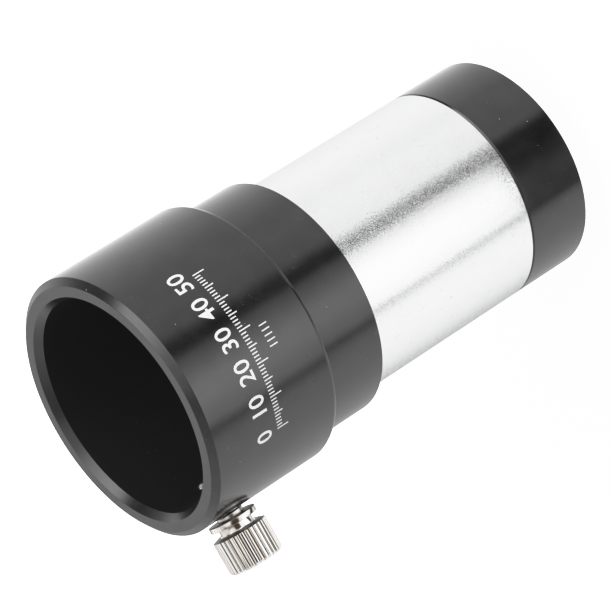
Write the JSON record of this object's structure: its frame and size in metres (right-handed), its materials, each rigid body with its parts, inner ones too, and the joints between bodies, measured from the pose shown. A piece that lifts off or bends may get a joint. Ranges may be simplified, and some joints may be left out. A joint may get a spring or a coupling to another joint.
{
  "type": "barlow lens",
  "caption": "Telescope Barlow lens: black eyepiece holder with a knurled thumbscrew, bright nosepiece tube and a screw-out doublet lens cell.",
  "frame": {"origin": "on the optical axis, in the plane of the nosepiece's end rim, which the lens stands on", "axes": "+Z along the optical axis towards the eyepiece opening; +X along the thumbscrew, away from the tube"},
  "size_m": [0.0461, 0.0384, 0.072],
  "materials": {
    "black_anodised": "satin black anodised",
    "satin_aluminium": "fine turned, satin clear anodised",
    "matt_black": "matt black anodised",
    "nickel_plate": "bright nickel plated",
    "screw_steel": "bright",
    "coated_glass": "polished, anti-reflection coated"
  },
  "bodies": {
    "root": {"eyepiece_holder": "black_anodised", "adapter_ring": "black_anodised", "barrel_tube": "satin_aluminium", "glare_stop": "matt_black"},
    "screw_stud": {"thumbscrew_stud": "screw_steel"},
    "screw_head": {"thumbscrew_head": "nickel_plate"},
    "lens_stack": {"flint_element": "coated_glass", "element_spacer": "matt_black", "crown_element": "coated_glass"},
    "cell": {"lens_cell": "black_anodised", "retaining_ring": "matt_black"}
  },
  "joints": [
    {"name": "thumbscrew_feed", "type": "slide", "parent": "root", "child": "screw_stud", "axis": [1, 0, 0], "range_m": [-0.0006, 0.004]},
    {"name": "thumbscrew_turn", "type": "hinge", "parent": "screw_stud", "child": "screw_head", "pos_m": [0.0245, 0, 0.0652], "axis": [1, 0, 0], "range_deg": [-309, 2058]},
    {"name": "cell_feed", "type": "slide", "parent": "root", "child": "lens_stack", "axis": [0, 0, -1], "range_m": [0, 0.0036]},
    {"name": "cell_turn", "type": "hinge", "parent": "lens_stack", "child": "cell", "pos_m": [0, 0, 0.005], "axis": [0, 0, -1], "range_deg": [0, 2161]}
  ],
  "couplings": [
    {"joint": "thumbscrew_turn", "follows": "thumbscrew_feed", "rad_per_m": 8976},
    {"joint": "cell_turn", "follows": "cell_feed", "rad_per_m": 10472}
  ]
}
